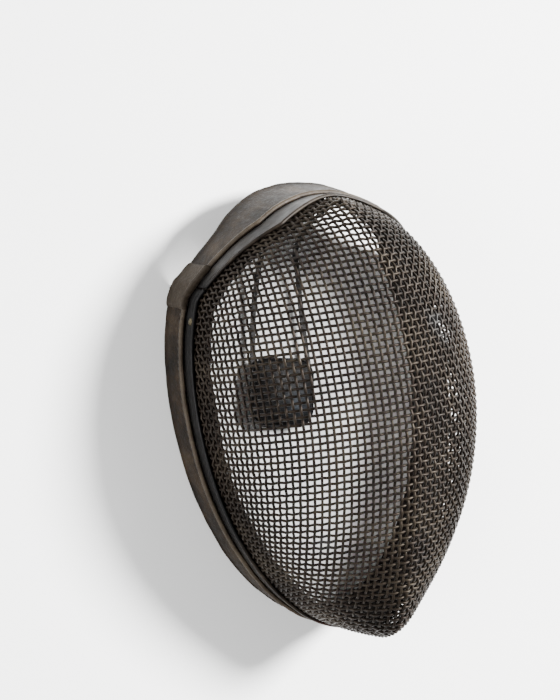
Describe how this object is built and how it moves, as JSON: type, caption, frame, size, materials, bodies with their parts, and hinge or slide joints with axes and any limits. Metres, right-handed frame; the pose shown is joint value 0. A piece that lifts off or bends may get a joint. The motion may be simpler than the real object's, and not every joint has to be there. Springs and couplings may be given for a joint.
{
  "type": "fencing mask",
  "caption": "Domed wire fencing mask with a fold down its middle, leather rim bands, a leather lining and a sprung pad at the back of the head.",
  "frame": {"origin": "on the surface that the mask lies on, under the middle of its box", "axes": "+X to the wearer's left, +Y to the crown, +Z from the rear rim to the front of the face"},
  "size_m": [0.1988, 0.3102, 0.1384],
  "materials": {
    "wire": "tarnished woven steel wire",
    "band_leather": "worn grey-brown leather",
    "corner_leather": "worn grey-brown leather patch",
    "edge_strip": "satin black paint, worn",
    "lining_leather": "red-brown lining leather",
    "spring_steel": "blackened spring steel",
    "pad_leather": "black padded leather",
    "rivet": "dull brass"
  },
  "bodies": {
    "root": {"mesh_face": "wire", "side_band": "band_leather", "crown_band": "band_leather", "edge_strip_sides": "edge_strip", "edge_strip_crown": "edge_strip", "temple_corner_left": "corner_leather", "temple_corner_right": "corner_leather", "rivet_left": "rivet", "rivet_right": "rivet", "inner_lining": "lining_leather", "spring_strip_left": "spring_steel", "spring_strip_right": "spring_steel", "spring_pad": "pad_leather"}
  },
  "joints": []
}
